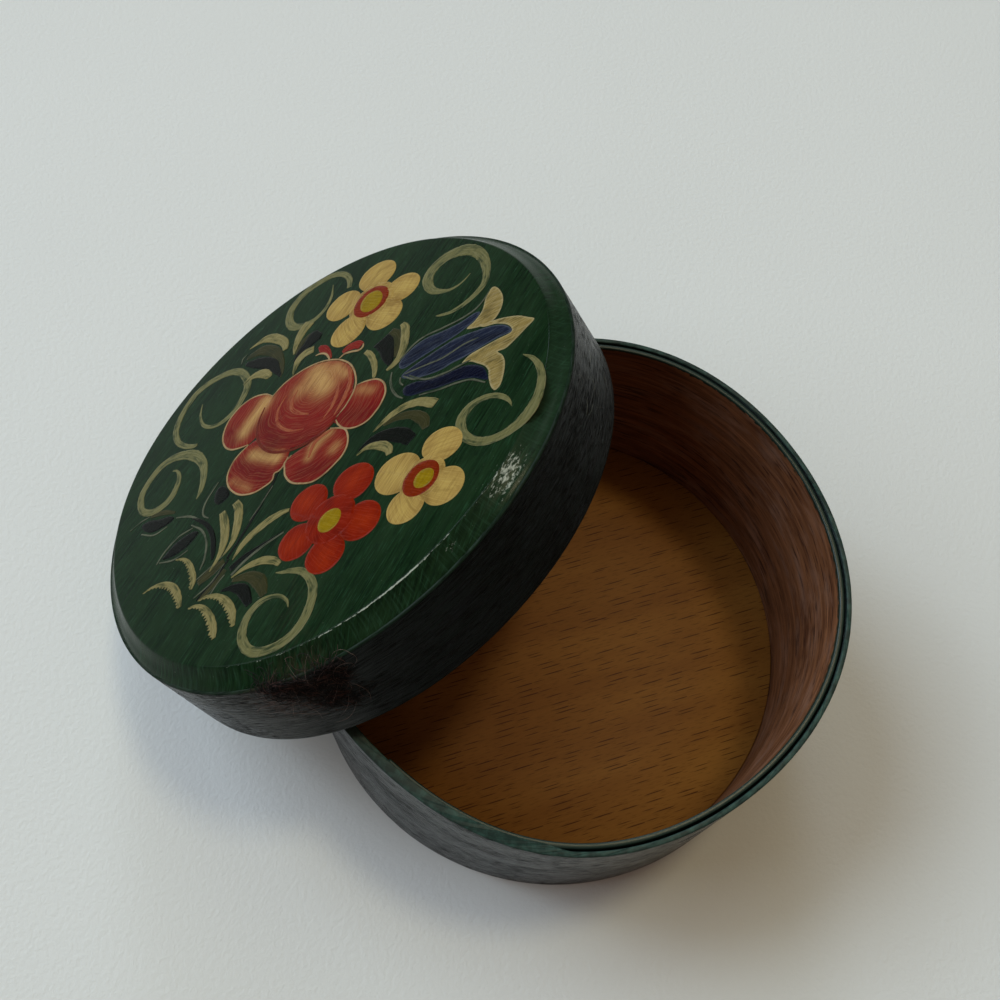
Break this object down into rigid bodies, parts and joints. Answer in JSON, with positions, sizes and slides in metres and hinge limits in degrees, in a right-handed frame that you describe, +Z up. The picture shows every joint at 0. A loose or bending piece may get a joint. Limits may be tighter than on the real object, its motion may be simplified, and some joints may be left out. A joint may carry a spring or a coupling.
{
  "type": "bentwood box with lid",
  "caption": "Round bentwood box turned and bent from wood, with a painted lift-off lid that leans on the open box; holds small things.",
  "frame": {"origin": "centre of the box's underside, on the table", "axes": "+Z up; the lid leans towards -X with its low edge on the table"},
  "size_m": [0.1454, 0.1054, 0.0762],
  "materials": {
    "bare_beech": "planed and oiled",
    "bare_ply": "bare, stained by age",
    "painted_ply": "dark green satin oil paint over open grain",
    "painted_disc": "green satin oil paint with painted flowers"
  },
  "bodies": {
    "box": {"box_bottom": "bare_beech", "box_inner_band": "bare_ply", "box_outer_band": "painted_ply"},
    "lid": {"lid_top": "painted_disc", "lid_inner_band": "painted_ply", "lid_outer_band": "painted_ply"}
  },
  "joints": [
    {"name": "lid_lift", "type": "slide", "parent": "box", "child": "lid", "axis": [-0.5937, 0, 0.8047], "range_m": [0, 0.06]}
  ]
}
